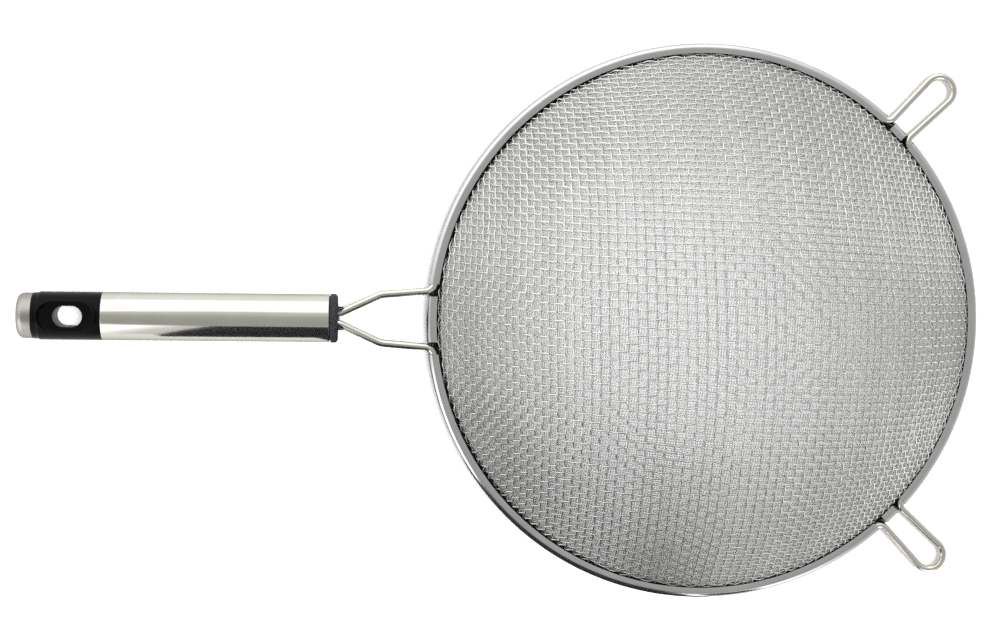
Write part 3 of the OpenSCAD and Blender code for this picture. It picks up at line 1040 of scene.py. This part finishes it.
def make_cards():
    """A dark mat and two dark cards beside the object on the -Y side. Only reflections show them, as the
    dark bands in the steel."""
    black = Shader("card_black", Base_Color=(0.008, 0.008, 0.011, 1), Roughness=1.0).material
    near = [(x * MM, y * MM) for x, y in HANDLE_MAT]
    under_rim = RIM_R - MAT_UNDER_RIM
    for degrees in RIM_MAT:
        turn = math.radians(degrees)
        near.append((under_rim * math.cos(turn), under_rim * math.sin(turn)))
    far_left = (CARDS[0][0] - CARDS[0][3]) * MM
    outline = near + [(near[-1][0], CARD_Y), (far_left, CARD_Y)]
    dark = [sheet("dark_mat", [(x, y, floor_height(x) + MAT_RISE) for x, y in outline], black)]
    for number, (start, end, top, flare) in enumerate(CARDS):
        corners = [(start - flare, CARD_FOOT), (end, CARD_FOOT), (end, top), (start, top)]
        outline = [(x * MM, CARD_Y, z * MM) for x, z in corners]
        dark.append(sheet(f"dark_card_{number + 1}", outline, black))
    for obj in dark:
        obj.visible_camera = False
        obj.visible_shadow = False
        obj.visible_diffuse = False


# The tent: the walls' brightness by bearing in degrees, the roof's colour by how far a direction leans to
# +Y, how far the roof's middle tips to -Y, and between which angles from there it passes into the walls.
SKY_BAND = [
    (-180, 0.60), (-168, 0.85), (-160, 1.8), (-128, 1.8), (-108, 1.6), (-103, 0.70), (-95, 0.70),
    (-92, 1.5), (-83, 1.8), (-62, 1.7), (-50, 0.60), (-20, 0.50), (0, 0.45), (35, 0.62), (60, 0.95),
    (75, 1.45), (150, 1.45), (168, 1.05), (180, 0.60),
]
SKY_TOP = [
    (-0.60, (0.38, 0.38, 0.37)),
    (-0.25, (0.40, 0.40, 0.385)),
    (0.08, (0.46, 0.46, 0.44)),
    (0.42, (0.70, 0.69, 0.63)),
]
ROOF_TIP = math.radians(6)
ROOF_EDGE = (math.radians(33), math.radians(39))


def make_world():
    """A light tent: walls that are bright on both sides and dimmer at the hooks' and the handle's end, and
    a grey roof that is lighter towards +Y."""
    world = bpy.data.worlds.new("studio")
    bpy.context.scene.world = world
    world.use_nodes = True
    nodes, links = world.node_tree.nodes, world.node_tree.links

    def ramp(value, low, high, stops):
        share = nodes.new("ShaderNodeMapRange")
        share.inputs["From Min"].default_value = low
        share.inputs["From Max"].default_value = high
        links.new(value, share.inputs["Value"])
        shades = nodes.new("ShaderNodeValToRGB")
        marks = shades.color_ramp.elements
        while len(marks) < len(stops):
            marks.new(0.5)
        for mark, (place, colour) in zip(marks, stops):
            mark.position = (place - low) / (high - low)
            mark.color = (*colour, 1) if isinstance(colour, tuple) else (colour, colour, colour, 1)
        links.new(share.outputs["Result"], shades.inputs["Fac"])
        return shades.outputs["Color"]

    where = nodes.new("ShaderNodeTexCoord")
    split = nodes.new("ShaderNodeSeparateXYZ")
    links.new(where.outputs["Generated"], split.inputs["Vector"])
    bearing = nodes.new("ShaderNodeMath")
    bearing.operation = "ARCTAN2"
    links.new(split.outputs["Y"], bearing.inputs[0])
    links.new(split.outputs["X"], bearing.inputs[1])
    walls = ramp(bearing.outputs["Value"], -math.pi, math.pi, [(math.radians(a), v) for a, v in SKY_BAND])
    roof = ramp(split.outputs["Y"], SKY_TOP[0][0], SKY_TOP[-1][0], SKY_TOP)

    height = nodes.new("ShaderNodeVectorMath")
    height.operation = "DOT_PRODUCT"
    height.inputs[1].default_value = (0, -math.sin(ROOF_TIP), math.cos(ROOF_TIP))
    links.new(where.outputs["Generated"], height.inputs[0])
    cap = nodes.new("ShaderNodeMapRange")
    cap.interpolation_type = "SMOOTHSTEP"
    cap.inputs["From Min"].default_value = math.cos(ROOF_EDGE[1])
    cap.inputs["From Max"].default_value = math.cos(ROOF_EDGE[0])
    links.new(height.outputs["Value"], cap.inputs["Value"])
    mix = nodes.new("ShaderNodeMix")
    mix.data_type = "RGBA"
    links.new(cap.outputs["Result"], mix.inputs["Factor"])
    links.new(walls, mix.inputs["A"])
    links.new(roof, mix.inputs["B"])
    links.new(mix.outputs["Result"], nodes["Background"].inputs["Color"])


LAMP_POWER = 3.4
LAMP_SPREAD = math.radians(22)
LAMP_LEAN = (math.radians(-2), math.radians(10), 0)


def make_lights():
    """A broad lamp overhead that lights the table. The steel doesn't mirror it, only the tent."""
    data = bpy.data.lights.new("table_lamp", "SUN")
    data.energy = LAMP_POWER
    data.angle = LAMP_SPREAD
    lamp = bpy.data.objects.new("table_lamp", data)
    lamp.rotation_euler = LAMP_LEAN
    lamp.visible_glossy = False
    bpy.context.scene.collection.objects.link(lamp)


make_cloths()
make_rim()
make_frame_wire()
make_tube()
make_sleeve()
make_cap()
make_collar()
make_floor()
make_cards()
make_world()
make_lights()

bpy.context.scene.view_settings.view_transform = "Standard"
bpy.context.scene.cycles.use_denoising = False
